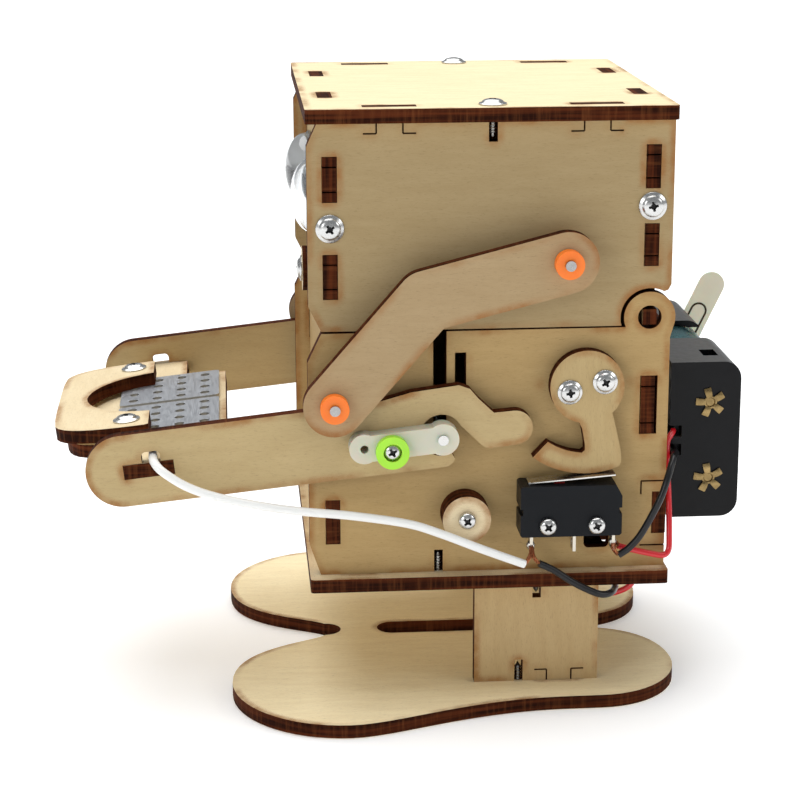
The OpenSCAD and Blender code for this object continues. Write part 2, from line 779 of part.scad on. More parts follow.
module arm_axle() {
  l = 2 * (arm_y + ply + crank_t + 0.6);
  color("silver") centred() translate([hub_x, l / 2, hub_z]) rotate([90, 0, 0])
    cylinder(r = rod_r, h = l);
}

module crank() {
  y0 = arm_y + ply;
  translate([0, -y0, 0]) rotate([90, 0, 0]) difference() {
    union() {
      translate([-15.1, -2.5, 0]) cube([15.1, 5.1, crank_t]);
      translate([-15.1, 0.1, 0]) cylinder(r = 2.9, h = crank_t);
      cylinder(r = 3.1, h = crank_t);
    }
    translate([0, 0, -1]) cylinder(r = rod_r, h = 9);
    translate([-15.1, 0.1, -1]) cylinder(r = 0.8, h = 9);
    translate([-9.9, -0.9, -1]) cylinder(r = shank_hole_r, h = 9);
  }
}

module arm_cranks() {
  color("whitesmoke") centred() on_arms() both() crank();
}

module green_sleeves() {
  color("yellowgreen") centred() on_arms() both()
    translate([-9.9, -arm_y - ply - crank_t, -0.9]) rotate([90, 0, 0]) difference() {
      cylinder(r = 3.2, h = 1.6);
      translate([0, 0, -1]) cylinder(r = 1.75, h = 4);
    }
}

module arm_screws() {
  color("silver") centred() on_arms() both() {
    translate([-9.9, -arm_y - ply - crank_t, -0.9]) rotate([90, 25, 0]) screw(pan_r, 6, false);
    translate([tray_screw[0], tray_screw[1], guide_v + ply]) screw(washer_r);
    translate([tray_screw[0], tray_screw[1], tray_v - 1.3]) difference() {
      cylinder(r = 1.9, h = 1.3, $fn = 6);
      translate([0, 0, -1]) cylinder(r = shank_r, h = 4);
    }
  }
}

module tray_base() {
  shoulder = slot_u[1] + 1.8;
  crossbar = [[slot_u[0], arm_y + ply], [slot_u[1], arm_y + ply], [slot_u[1], arm_y - 0.2],
    [shoulder, arm_y - 0.2]];
  color("burlywood") centred() on_arms() flat(tray_v) difference() {
    union() {
      polygon(concat(bow([-50, -24], [-74, -25], [-74, -22], [-74, 0], 14), [[-74, 0]],
        bow([-74, 0], [-74, 22], [-74, 25], [-50, 24], 14), [[-41.2, 24], [-41.2, -24]]));
      polygon(concat(crossbar, [for (i = [3:-1:0]) [crossbar[i][0], -crossbar[i][1]]]));
    }
    for (s = [-1, 1]) translate([tray_screw[0], s * tray_screw[1]]) circle(r = shank_hole_r);
  }
}

// One half of the guide's outline, from the prong's inner corner round to the middle of the front
function guide_half() = concat(
  [[-56.2, -15.5], [-56.2, -25.6], [-57, -26]],
  bow([-57, -26], [-66, -26], [-75, -25.5], [-75.2, -17], 10),
  bow([-75.2, -17], [-75.4, -11], [-guide_front, -6], [-guide_front, 0], 6), [[-guide_front, 0]]);

module tray_guide() {
  half = guide_half();
  throat = bow([-69.6, 0], [-69.4, -8], [-64, -14.5], [-56.2, -15.5], 10);
  near = concat(throat, half);
  far = [for (i = [len(near) - 2:-1:0]) [near[i][0], -near[i][1]]];
  color("burlywood") centred() on_arms() flat(guide_v) difference() {
    polygon(concat([[-69.6, 0]], near, far));
    for (s = [-1, 1]) translate([tray_screw[0], s * tray_screw[1]]) circle(r = shank_hole_r);
  }
}

module contact_plates() {
  color("lightslategray") centred() on_arms() both() difference() {
    flat(tray_v + ply, contact_t) round_box2(-63.3, -42.5, -21.8, -0.8, 0.8);
    for (i = [0:3], k = [0:3]) translate([-60.5 + 5 * i, -3.7 - 5 * k, 0]) cylinder(r = 1, h = 9);
    translate([tray_screw[0], -tray_screw[1], 0]) cylinder(r = 1, h = 9);
  }
}

module lower_link_pins() {
  color("silver") centred() on_arms() both()
    translate([pivot_p[0], -arm_y + 0.4, pivot_p[1]]) rotate([90, 0, 0])
      cylinder(r = rod_r, h = 9.2);
}

module ring(h, hole = rod_r) {
  difference() {
    cylinder(r = sleeve_r, h = h);
    translate([0, 0, -1]) cylinder(r = hole, h = h + 2);
  }
}

module lower_link_sleeves() {
  color("orange") centred() on_arms() both()
    translate([pivot_p[0], -link_y - ply - 0.2, pivot_p[1]]) rotate([90, 0, 0]) ring(sleeve_l);
}

// ---- Links ----

// A bar with a round end at a and a round end at b
module bar2(a, b, r) {
  d = b - a;
  turn = atan2(d[1], d[0]);
  translate(a) rotate(turn) union() {
    circle(r = r);
    translate([norm(d), 0]) circle(r = r);
    box2(0, norm(d), -r, r);
  }
}

module link() {
  t = arm_tilt;
  p = [hub_x, hub_z] + [pivot_p[0] * cos(t) - pivot_p[1] * sin(t),
    pivot_p[0] * sin(t) + pivot_p[1] * cos(t)];
  upright(-link_y - ply) difference() {
    union() {
      bar2(p, link_bend, link_r);
      bar2(link_bend, pivot_q, link_r);
    }
    translate(p) circle(r = rod_hole_r);
    translate(pivot_q) circle(r = open_pivot_r);
  }
}

module link_left() {
  color("burlywood") centred() link();
}

module link_right() {
  color("burlywood") centred() mirrored() link();
}

module upper_link_axle() {
  l = 2 * (link_y + ply + sleeve_l + 1);
  color("silver") centred() translate([pivot_q[0], l / 2, pivot_q[1]]) rotate([90, 0, 0])
    cylinder(r = rod_r, h = l);
}

module upper_link_sleeves() {
  color("orange") centred() both() translate([pivot_q[0], 0, pivot_q[1]]) {
    translate([0, -link_y - ply - 0.2, 0]) rotate([90, 0, 0]) ring(sleeve_l);
    translate([0, -side, 0]) rotate([90, 0, 0]) ring(link_y - side - 0.2);
  }
}

// ---- Head ----

head_slots_front = [[head_z + 6.3, head_z + 14.8], [head_z + 24.9, head_z + 33.4]];
head_slots_rear = [[head_z + 11.7, head_z + 19.8], [head_z + 26.7, head_z + 34.9]];
top_tabs = [[10.9, 20.9], [50.1, 60.1]];
top_screw_x = 35.4;
panel_tab_y = 18;
panel_tab_l = 9;

function middle(slots) = (slots[0][1] + slots[1][0]) / 2;

module head_side() {
  upright(-side) difference() {
    union() {
      polygon(concat(
        [[0.3, head_z + 4.9], [2.7, head_z]],
        arc([hinge_x, hinge_z], notch_r, 196, 62, 22),
        [[69.4, hinge_z + 5.3], [box_l, hinge_z + 6.4], [box_l, head_top_z], [2.4, head_top_z],
          [0.3, head_top_z - 4.6]]));
      for (t = top_tabs) box2(t[0], t[1], head_top_z - 1, head_top_z + ply - 0.05);
    }
    for (z = head_slots_front) slot2(front_x, front_x + ply, z[0], z[1]);
    for (z = head_slots_rear) slot2(rear_x, rear_x + ply, z[0], z[1]);
    for (t = top_tabs) relief(t[0], t[1], head_top_z, 1);
    box2(top_screw_x - shank_hole_r, top_screw_x + shank_hole_r, head_top_z - 4.1, head_top_z + 1);
    translate([front_x + ply / 2, middle(head_slots_front)]) circle(r = shank_hole_r);
    translate([rear_x + ply / 2, middle(head_slots_rear)]) circle(r = shank_hole_r);
    translate(pivot_q) circle(r = rod_r);
  }
}

module head_left_panel() {
  color("burlywood") centred() head_side();
}

module head_right_panel() {
  color("burlywood") centred() mirrored() head_side();
}

module head_top() {
  color("wheat") centred() flat(head_top_z) difference() {
    round_box2(0, box_l + 0.1, -plate_edge, plate_edge, 0.8);
    for (s = [-1, 1]) {
      mid = s * (side - ply / 2);
      for (t = top_tabs) slot2(t[0], t[1], mid - ply / 2, mid + ply / 2);
      translate([top_screw_x, mid]) circle(r = shank_hole_r);
      for (x = [front_x, rear_x])
        slot2(x, x + ply, s * panel_tab_y - panel_tab_l / 2, s * panel_tab_y + panel_tab_l / 2);
    }
  }
}

// Panel across the head, with side tabs, top tabs and two screw slots
module head_cross2(slots, low) {
  difference() {
    union() {
      box2(-inner, inner, low, head_top_z);
      for (z = slots) box2(-side, side, z[0], z[1]);
      for (s = [-1, 1]) box2(s * panel_tab_y - panel_tab_l / 2, s * panel_tab_y + panel_tab_l / 2,
        head_top_z - 1, head_top_z + ply - 0.05);
    }
    for (s = [-1, 1]) box2(min(s * inner, s * (inner - 4.6)), max(s * inner, s * (inner - 4.6)),
      middle(slots) - shank_hole_r, middle(slots) + shank_hole_r);
    for (s = [-1, 1], z = slots, e = [z[0] + 1.9, z[1] - 1.9])
      box2(min(s * inner, s * side + s), max(s * inner, s * side + s), e - slit / 2, e + slit / 2);
  }
}

module head_front_panel() {
  color("burlywood") centred() crosswise(front_x) difference() {
    head_cross2(head_slots_front, head_z);
    translate([0, head_z + 5]) circle(r = shank_hole_r);
  }
}

module head_rear_panel() {
  color("burlywood") centred() crosswise(rear_x) union() {
    head_cross2(head_slots_rear, head_z);
    box2(-side + 0.2, side - 0.2, hinge_z - peg_h / 2, hinge_z + peg_h / 2);
  }
}

module head_screws() {
  color("silver") centred() {
    both() {
      translate([top_screw_x, side - ply / 2, head_top_z + ply]) rotate(30) screw(washer_r, 6.6);
      screw_left(front_x + ply / 2, middle(head_slots_front), -side, washer_r);
      screw_left(rear_x + ply / 2, middle(head_slots_rear), -side, washer_r);
    }
    translate([front_x - ply, 0, head_z + 5]) rotate([0, -90, 0]) screw(washer_r);
  }
}

module nose_disc() {
  color("tan") centred() crosswise(front_x - ply) difference() {
    translate([0, head_z + 5]) circle(r = 4.6);
    translate([0, head_z + 5]) circle(r = shank_hole_r);
  }
}

// Places a shape that grows along +Z onto the front panel at both eyes
module at_eyes() {
  for (s = [-1, 1]) translate([front_x, s * eye_y, eye_z]) rotate([0, -90, 0]) children();
}

module eye_backs() {
  color("white") centred() at_eyes() cylinder(r = eye_r - 1.1, h = 0.7);
}

module eye_pupils() {
  color("black") centred() at_eyes() translate([-3.2, 0, 1]) cylinder(r = 3.6, h = 0.7);
}

module eye_domes() {
  color("lightcyan") centred() at_eyes() rotate_extrude() polygon(concat(
    [[eye_r, 0], [eye_r, 0.6], [eye_r - 0.4, 0.8]],
    [for (a = [0:10:90]) [(eye_r - 0.5) * cos(a), 0.9 + 4.5 * sin(a)]],
    [for (a = [90:-10:0]) [(eye_r - 0.95) * cos(a), 0.9 + 4.05 * sin(a)]],
    [[eye_r - 0.65, 0.4], [eye_r - 0.65, 0]]));
}

foot_plate();
leg_left();
leg_right();
floor_plate();
body_left_panel();
body_right_panel();
body_front_panel();
body_rear_panel();
rear_door();
motor_bracket();
motor_can();
gearbox_plates();
gearbox_gears();
motor_screws();
body_screws();
arm_stop_discs();
battery_holder();
holder_tape();
battery_cells();
battery_contacts();
pull_tab();
switch_case();
switch_terminals();
switch_lever();
switch_plunger();
white_wire();
black_battery_wire();
black_motor_wire();
red_battery_wire();
red_motor_wire();
output_shaft();
output_horn();
cam();
cam_screws();
arm_axle();
arm_left();
arm_right();
arm_cranks();
arm_screws();
green_sleeves();
tray_base();
tray_guide();
contact_plates();
lower_link_pins();
lower_link_sleeves();
link_left();
link_right();
upper_link_axle();
upper_link_sleeves();
head_top();
head_left_panel();
head_right_panel();
head_front_panel();
head_rear_panel();
head_screws();
nose_disc();
eye_backs();
eye_pupils();
eye_domes();
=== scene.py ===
import math

import bmesh
import bpy
from mathutils import Matrix, Vector


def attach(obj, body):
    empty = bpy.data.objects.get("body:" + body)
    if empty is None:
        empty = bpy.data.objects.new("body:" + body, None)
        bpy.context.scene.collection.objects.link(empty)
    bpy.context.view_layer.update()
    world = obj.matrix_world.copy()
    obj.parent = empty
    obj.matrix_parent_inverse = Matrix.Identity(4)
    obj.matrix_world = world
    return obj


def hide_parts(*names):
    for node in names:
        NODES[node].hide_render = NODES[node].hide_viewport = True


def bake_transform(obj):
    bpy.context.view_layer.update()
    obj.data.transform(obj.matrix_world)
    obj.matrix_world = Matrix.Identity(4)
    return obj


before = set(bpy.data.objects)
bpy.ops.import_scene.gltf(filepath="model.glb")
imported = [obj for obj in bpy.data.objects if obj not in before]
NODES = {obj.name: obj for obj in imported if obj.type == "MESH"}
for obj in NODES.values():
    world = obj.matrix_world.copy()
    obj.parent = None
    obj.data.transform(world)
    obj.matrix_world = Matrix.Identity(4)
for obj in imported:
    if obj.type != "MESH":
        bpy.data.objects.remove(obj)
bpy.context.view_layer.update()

MM = 0.001

# The source draws everything from the head's front edge; the frame starts under the middle
CENTRE_X = 22.3627


def point(x, y, z):
    """A point of the design, in millimetres, in the frame, in metres."""
    return Vector(((x - CENTRE_X) * MM, y * MM, z * MM))


# ---- Camera ----

CAMERA_AT = (-14.75, -448.48, 172.76)
CAMERA_YAW = 4.511
CAMERA_PITCH = 14.870
CAMERA_ROLL = -0.161
CAMERA_LENS = 99.87


def make_camera():
    yaw, pitch, roll = (math.radians(a) for a in (CAMERA_YAW, CAMERA_PITCH, CAMERA_ROLL))
    forward = Vector((math.sin(yaw) * math.cos(pitch), math.cos(yaw) * math.cos(pitch), -math.sin(pitch)))
    right = Vector((math.cos(yaw), -math.sin(yaw), 0))
    up = right.cross(forward)
    right, up = (right * math.cos(roll) + up * math.sin(roll), up * math.cos(roll) - right * math.sin(roll))
    data = bpy.data.cameras.new("camera")
    data.lens = CAMERA_LENS
    data.sensor_width = 36
    data.clip_start = 0.01
    data.clip_end = 20
    camera = bpy.data.objects.new("camera", data)
    axes = Matrix((right, up, -forward)).transposed().to_4x4()
    camera.matrix_world = Matrix.Translation(point(*CAMERA_AT)) @ axes
    bpy.context.scene.collection.objects.link(camera)
    bpy.context.scene.camera = camera


make_camera()


# ---- Mesh helpers ----

def new_object(name, mesh, material=None):
    obj = bpy.data.objects.new(name, mesh)
    bpy.context.scene.collection.objects.link(obj)
    if material:
        mesh.materials.append(material)
    return obj


def smooth(mesh, angle=35):
    for polygon in mesh.polygons:
        polygon.use_smooth = True
    work = bmesh.new()
    work.from_mesh(mesh)
    for edge in work.edges:
        if len(edge.link_faces) == 2:
            edge.smooth = edge.calc_face_angle(0) < math.radians(angle)
    work.to_mesh(mesh)
    work.free()


def spline(points, steps):
    """Points of a smooth curve through the given ones."""
    out = []
    last = len(points) - 1
    for i in range(last):
        a, b, c, d = (points[max(i - 1, 0)], points[i], points[i + 1], points[min(i + 2, last)])
        for k in range(steps):
            t = k / steps
            out.append(0.5 * (2 * b + (c - a) * t + (2 * a - 5 * b + 4 * c - d) * t * t
                              + (3 * b - a - 3 * c + d) * t ** 3))
    out.append(points[last])
    return out


def carried_frames(path):
    """A tangent and two side directions at each point of a path, carried along without twist."""
    frames = []
    side = None
    for i, here in enumerate(path):
        tangent = (path[min(i + 1, len(path) - 1)] - path[max(i - 1, 0)]).normalized()
        if side is None:
            side = tangent.orthogonal()
        side = (side - tangent * side.dot(tangent)).normalized()
        frames.append((here, tangent, side, tangent.cross(side)))
    return frames


def add_tube(work, path, radius, sides=14):
    rings = []
    for here, _, a, b in carried_frames(path):
        ring = []
        for k in range(sides):
            turn = 2 * math.pi * k / sides
            ring.append(work.verts.new(here + radius * (math.cos(turn) * a + math.sin(turn) * b)))
        rings.append(ring)
    for low, high in zip(rings, rings[1:]):
        for k in range(sides):
            q = (k + 1) % sides
            work.faces.new((low[k], low[q], high[q], high[k]))
    work.faces.new(list(reversed(rings[0])))
    work.faces.new(rings[-1])


def lathe(work, profile, place, segments=48):
    """Turns a profile of (radius, height) pairs about Z, closes both ends, and places it."""
    rings = []
    for radius, height in profile:
        if radius < 1e-7:
            rings.append([work.verts.new(place @ Vector((0, 0, height)))])
            continue
        turns = [2 * math.pi * k / segments for k in range(segments)]
        rings.append([work.verts.new(place @ Vector((radius * math.cos(a), radius * math.sin(a), height)))
                      for a in turns])
    for low, high in zip(rings, rings[1:]):
        for k in range(segments):
            q = (k + 1) % segments
            corners = [low[k % len(low)], low[q % len(low)], high[q % len(high)], high[k % len(high)]]
            corners = [v for i, v in enumerate(corners) if v not in corners[:i]]
            if len(corners) > 2:
                work.faces.new(corners)
    if len(rings[0]) > 1:
        work.faces.new(list(reversed(rings[0])))
    if len(rings[-1]) > 1:
        work.faces.new(rings[-1])


def finish_mesh(work, name, angle=35):
    bmesh.ops.recalc_face_normals(work, faces=work.faces)
    mesh = bpy.data.meshes.new(name)
    work.to_mesh(mesh)
    work.free()
    smooth(mesh, angle)
    return mesh


# ---- Materials ----

class Nodes:
    """Short words for building a node material."""

    def __init__(self, name):
        self.material = bpy.data.materials.new(name)
        self.material.use_nodes = True
        self.tree = self.material.node_tree
        self.tree.nodes.clear()
        self.out = self.add("ShaderNodeOutputMaterial")
        self.shader = self.add("ShaderNodeBsdfPrincipled")
        self.tree.links.new(self.shader.outputs[0], self.out.inputs[0])
        self.where = self.add("ShaderNodeTexCoord")

    def add(self, kind, **settings):
        node = self.tree.nodes.new(kind)
        for key, value in settings.items():
            setattr(node, key, value)
        return node

    def link(self, a, b):
        self.tree.links.new(a, b)

    def put(self, socket, value):
        if hasattr(value, "is_output"):
            self.link(value, socket)
        else:
            socket.default_value = value

    def math(self, operation, a, b=0.5, c=0.0):
        node = self.add("ShaderNodeMath", operation=operation)
        for socket, value in zip(node.inputs, (a, b, c)):
            self.put(socket, value)
        return node.outputs[0]

    def place(self, scale=(1, 1, 1), turn=(0, 0, 0), source=None):
        node = self.add("ShaderNodeMapping")
        node.inputs["Scale"].default_value = scale
        node.inputs["Rotation"].default_value = turn
        self.link(source or self.where.outputs["Object"], node.inputs["Vector"])
        return node.outputs[0]

    def noise(self, vector, scale, detail=4.0, rough=0.55, distort=0.0):
        node = self.add("ShaderNodeTexNoise")
        self.link(vector, node.inputs["Vector"])
        node.inputs["Scale"].default_value = scale
        node.inputs["Detail"].default_value = detail
        node.inputs["Roughness"].default_value = rough
        node.inputs["Distortion"].default_value = distort
        return node.outputs["Fac"]

    def levels(self, value, low, high, to_low=0.0, to_high=1.0):
        node = self.add("ShaderNodeMapRange", clamp=True, interpolation_type="SMOOTHSTEP")
        self.put(node.inputs["Value"], value)
        for key, v in (("From Min", low), ("From Max", high), ("To Min", to_low), ("To Max", to_high)):
            node.inputs[key].default_value = v
        return node.outputs[0]

    def mix(self, factor, a, b):
        node = self.add("ShaderNodeMix", data_type="RGBA")
        for socket, value in zip((node.inputs[0], node.inputs[6], node.inputs[7]), (factor, a, b)):
            if isinstance(value, tuple):
                value = (*value, 1) if len(value) == 3 else value
            self.put(socket, value)
        return node.outputs[2]

    def bump(self, height, strength, distance):
        node = self.add("ShaderNodeBump")
        node.inputs["Strength"].default_value = strength
        node.inputs["Distance"].default_value = distance
        self.link(height, node.inputs["Height"])
        return node.outputs[0]

    def set(self, **values):
        for key, value in values.items():
            self.put(self.shader.inputs[key.replace("_", " ")], value)


EDGE_DARK = (0.016, 0.0036, 0.0015)
EDGE_BROWN = (0.086, 0.0195, 0.0058)
EDGE_PALE = (0.25, 0.085, 0.026)
SCORCH = (0.30, 0.120, 0.030)


def plywood(name, axis, pale, warm, grain, seed):
    """Laser-cut birch ply. axis is the plate's thickness direction, grain the direction of its figure."""
    n = Nodes(name)
    across = [95.0, 95.0, 95.0]
    across[grain] = 16.0
    drift = n.add("ShaderNodeVectorMath", operation="ADD")
    n.link(n.where.outputs["Object"], drift.inputs[0])
    drift.inputs[1].default_value = (seed * 0.37, seed * 0.21, seed * 0.13)
    moved = drift.outputs[0]
    figure = n.noise(n.place(tuple(across), (0.03, 0.05, 0.04), moved), 6.0, 7.0, 0.68, 0.25)
    fibres = n.noise(n.place(tuple(c * 9 for c in across), (0.03, 0.05, 0.04), moved), 6.0, 3.0, 0.75)
    flecks = n.noise(n.place(tuple(c * 16 for c in across), (0.03, 0.05, 0.04), moved), 3.0, 2.0, 0.8)
    cloud = n.noise(moved, 40.0, 3.0, 0.5)
    face = n.mix(n.levels(figure, 0.20, 0.80, 0.10, 0.90), pale, warm)
    face = n.mix(n.levels(cloud, 0.35, 0.72, 0.0, 0.10), face, tuple(c * 0.86 for c in warm))
    face = n.mix(n.levels(fibres, 0.50, 0.74, 0.0, 0.34), face, tuple(c * 0.70 for c in warm))
    face = n.mix(n.levels(flecks, 0.60, 0.72, 0.0, 0.42), face, tuple(c * 0.56 for c in warm))

    # The laser's smoke stains the face beside every cut
    inside = n.add("ShaderNodeAmbientOcclusion", inside=True, only_local=True, samples=4)
    inside.inputs["Distance"].default_value = 1.7 * MM
    smoke = n.noise(moved, 420.0, 4.0, 0.6)
    near = n.math("SUBTRACT", 1.0, inside.outputs["AO"])
    stain = n.math("MULTIPLY", n.levels(near, 0.02, 0.36), n.levels(smoke, 0.25, 0.70, 0.45, 1.0))
    patchy = n.levels(n.noise(moved, 80.0, 2.0, 0.5), 0.42, 0.60, 0.16, 0.95)
    face = n.mix(n.math("MULTIPLY", stain, patchy), face, SCORCH)

    # Burnt edges, with their glue lines and the laser's streaks
    thickness = [0.0, 0.0, 0.0]
    thickness[axis] = 1.0
    plies = [35.0, 35.0, 35.0]
    plies[axis] = 1000.0
    streaks = [1300.0, 1300.0, 1300.0]
    streaks[axis] = 90.0
    layer = n.noise(n.place(tuple(plies), source=moved), 1.0, 2.0, 0.6)
    streak = n.noise(n.place(tuple(streaks), source=moved), 1.0, 3.0, 0.65)
    burnt = n.mix(n.levels(layer, 0.34, 0.68), EDGE_DARK, EDGE_BROWN)
    burnt = n.mix(n.levels(streak, 0.42, 0.80, 0.0, 0.28), burnt, EDGE_PALE)
    facing = n.add("ShaderNodeVectorMath", operation="DOT_PRODUCT")
    n.link(n.where.outputs["Normal"], facing.inputs[0])
    facing.inputs[1].default_value = thickness
    flat = n.levels(n.math("ABSOLUTE", facing.outputs["Value"]), 0.80, 0.93)
    grit = n.math("ADD", n.math("MULTIPLY", fibres, 0.6), n.math("MULTIPLY", streak, 0.4))
    n.set(Base_Color=n.mix(flat, burnt, face), Roughness=n.levels(fibres, 0.2, 0.8, 0.62, 0.82),
          Normal=n.bump(grit, 0.35, 0.04 * MM))
    n.set(Specular_IOR_Level=n.math("MULTIPLY_ADD", flat, 0.13, 0.05))
    return n.material


def metal(name, colour, rough, brushed=None, scratch=0.3, tint=0.12):
    n = Nodes(name)
    stretch = brushed or (400.0, 400.0, 400.0)
    fine = n.noise(n.place(stretch), 5.0, 4.0, 0.6)
    wide = n.noise(n.place((1, 1, 1)), 260.0, 3.0, 0.55)
    shade = n.mix(n.levels(wide, 0.3, 0.75, 0.0, tint), colour, tuple(c * 0.45 for c in colour))
    n.set(Base_Color=shade, Metallic=1.0, Roughness=n.levels(fine, 0.25, 0.75, rough * 0.7, rough * 1.35),
          Normal=n.bump(fine, scratch, 0.01 * MM))
    return n.material


def plastic(name, colour, rough, grain=900.0, depth=0.15, patch=0.12, subsurface=0.0, coat=0.0, specular=0.5):
    n = Nodes(name)
    fine = n.noise(n.place(), grain, 3.0, 0.6)
    wide = n.noise(n.place(), 140.0, 3.0, 0.5)
    darker = tuple(c * 0.72 for c in colour)
    n.set(Base_Color=n.mix(n.levels(wide, 0.35, 0.75, 0.0, patch * 2), colour, darker),
          Roughness=n.levels(fine, 0.2, 0.8, rough * 0.85, min(rough * 1.2, 1.0)),
          Normal=n.bump(fine, depth, 0.02 * MM))
    n.set(Specular_IOR_Level=specular)
    if subsurface:
        n.set(Subsurface_Weight=subsurface, Subsurface_Scale=0.002)
    if coat:
        n.set(Coat_Weight=coat, Coat_Roughness=0.08)
    return n.material


PALE, WARM = (0.600, 0.455, 0.262), (0.520, 0.382, 0.205)
# The cream pair is a lighter copy of the ply colour: painted light for the plates that face the overhead
# light, and the two small discs share it
LIT_CREAM, LIT_CREAM_WARM = (0.80, 0.675, 0.45), (0.70, 0.56, 0.345)

PLATES = {
    # node: (thickness axis, grain axis)
    "foot_plate": (2, 0), "floor_plate": (2, 1), "head_top": (2, 0),
    "tray_base": (2, 1), "tray_guide": (2, 1),
    "leg_left": (1, 2), "leg_right": (1, 2), "body_left_panel": (1, 0), "body_right_panel": (1, 0),
    "head_left_panel": (1, 0), "head_right_panel": (1, 0), "arm_left": (1, 0), "arm_right": (1, 0),
    "link_left": (1, 0), "link_right": (1, 0), "cam": (1, 2), "arm_stop_discs": (1, 0),
    "body_front_panel": (0, 1), "body_rear_panel": (0, 1), "rear_door": (0, 1),
    "head_front_panel": (0, 1), "head_rear_panel": (0, 1), "nose_disc": (0, 1),
}
# How each group of plates differs from the common colour: painted shade makes the panels, links, arms, legs
# and cam darker and browner, and painted light makes the foot plate and head top lighter
LIGHT_AND_SHADE_TONES = {
    "head_left_panel": (0.67, 0.66, 0.60), "head_right_panel": (0.67, 0.66, 0.60),
    "head_front_panel": (0.76, 0.74, 0.66), "head_rear_panel": (0.70, 0.68, 0.62),
    "body_left_panel": (0.79, 0.72, 0.56), "body_right_panel": (0.79, 0.72, 0.56),
    "body_front_panel": (0.82, 0.75, 0.62), "body_rear_panel": (0.80, 0.74, 0.62),
    "rear_door": (0.80, 0.74, 0.62),
    "link_left": (0.73, 0.70, 0.68), "link_right": (0.73, 0.70, 0.68),
    "arm_left": (0.90, 0.91, 0.83), "arm_right": (0.86, 0.84, 0.72), "cam": (0.85, 0.83, 0.72),
    "leg_left": (0.92, 0.89, 0.81), "leg_right": (0.92, 0.89, 0.81),
    "foot_plate": (1.18, 1.22, 1.22), "head_top": (1.18, 1.20, 1.18),
}
LIT_CREAM_PLATES = ("foot_plate", "floor_plate", "head_top", "tray_base", "tray_guide", "arm_stop_discs",
                "nose_disc")

METALS = {
    "arm_axle": ((0.62, 0.61, 0.59), 0.22, (40.0, 1400.0, 1400.0)),
    "lower_link_pins": ((0.36, 0.355, 0.35), 0.26, None),
    "upper_link_axle": ((0.36, 0.355, 0.35), 0.26, None),
    "output_shaft": ((0.60, 0.59, 0.57), 0.25, None),
    "contact_plates": ((0.44, 0.455, 0.48), 0.42, (1600.0, 60.0, 60.0)),
    "motor_can": ((0.58, 0.58, 0.57), 0.30, (60.0, 60.0, 900.0)),
    "switch_lever": ((0.66, 0.65, 0.62), 0.26, (50.0, 900.0, 900.0)),
    "switch_terminals": ((0.62, 0.58, 0.50), 0.34, None),
    "battery_contacts": ((0.72, 0.50, 0.16), 0.24, None),
    "gearbox_plates": ((0.70, 0.50, 0.18), 0.28, (60.0, 60.0, 900.0)),
    "gearbox_gears": ((0.76, 0.56, 0.22), 0.25, None),
}

ORANGE_RUBBER = dict(colour=(0.95, 0.20, 0.012), rough=0.45, grain=500.0, depth=0.3, subsurface=0.15)

PLASTICS = {
    "motor_bracket": dict(colour=(0.80, 0.80, 0.77), rough=0.45),
    "output_horn": dict(colour=(0.72, 0.71, 0.66), rough=0.42, subsurface=0.25),
    "arm_cranks": dict(colour=(0.60, 0.585, 0.47), rough=0.38, subsurface=0.45),
    "switch_case": dict(colour=(0.006, 0.007, 0.009), rough=0.40, grain=1400.0, depth=0.3, specular=0.14),
    "switch_plunger": dict(colour=(0.30, 0.012, 0.008), rough=0.35),
    "battery_holder": dict(colour=(0.005, 0.005, 0.006), rough=0.34, grain=700.0, depth=0.25, patch=0.3,
                           specular=0.16),
    "holder_tape": dict(colour=(0.72, 0.72, 0.70), rough=0.9, grain=1800.0, depth=0.9),
    "lower_link_sleeves": ORANGE_RUBBER,
    "upper_link_sleeves": ORANGE_RUBBER,
    "green_sleeves": dict(colour=(0.38, 0.80, 0.035), rough=0.42, grain=500.0, depth=0.3, subsurface=0.15),
    "pull_tab": dict(colour=(0.70, 0.75, 0.60), rough=0.5, grain=300.0, depth=0.2, subsurface=0.2),
    "eye_backs": dict(colour=(0.88, 0.88, 0.86), rough=0.5),
    "eye_pupils": dict(colour=(0.006, 0.006, 0.006), rough=0.25, coat=0.6),
}

BEVELS = {"battery_holder": 0.45, "switch_case": 0.22, "arm_cranks": 0.3, "lower_link_sleeves": 0.22,
          "upper_link_sleeves": 0.22, "green_sleeves": 0.25, "motor_bracket": 0.25, "output_horn": 0.2,
          "arm_axle": 0.2, "lower_link_pins": 0.2, "upper_link_axle": 0.2, "motor_can": 0.3,
          "contact_plates": 0.08, "switch_terminals": 0.08, "battery_contacts": 0.06}


def dress(name, material):
    obj = NODES[name]
    if not obj.data.materials:
        obj.data.materials.append(material)
    for slot in obj.material_slots:
        slot.link = "OBJECT"
        slot.material = material


def soften(name, width, segments=2, angle=30):
    bevel = NODES[name].modifiers.new("edge", "BEVEL")
    bevel.width = width * MM
    bevel.segments = segments
    bevel.limit_method = "ANGLE"
    bevel.angle_limit = math.radians(angle)
    bevel.harden_normals = False


def paint_top_sheen(material, colour, floor, full):
    """Paints a lighter colour on the surfaces that face up: a painted sheen of the overhead light."""
    tree = material.node_tree
    shader = next(node for node in tree.nodes if node.type == "BSDF_PRINCIPLED")
    base = shader.inputs["Base Color"].links[0].from_socket
    split = tree.nodes.new("ShaderNodeSeparateXYZ")
    coords = next(node for node in tree.nodes if node.type == "TEX_COORD")
    tree.links.new(coords.outputs["Normal"], split.inputs[0])
    up = tree.nodes.new("ShaderNodeMapRange")
    tree.links.new(split.outputs["Z"], up.inputs["Value"])
    up.inputs["From Min"].default_value = floor
    up.inputs["From Max"].default_value = full
    mix = tree.nodes.new("ShaderNodeMix")
    mix.data_type = "RGBA"
    tree.links.new(up.outputs[0], mix.inputs[0])
    tree.links.new(base, mix.inputs[6])
    mix.inputs[7].default_value = (*colour, 1)
    tree.links.new(mix.outputs[2], shader.inputs["Base Color"])


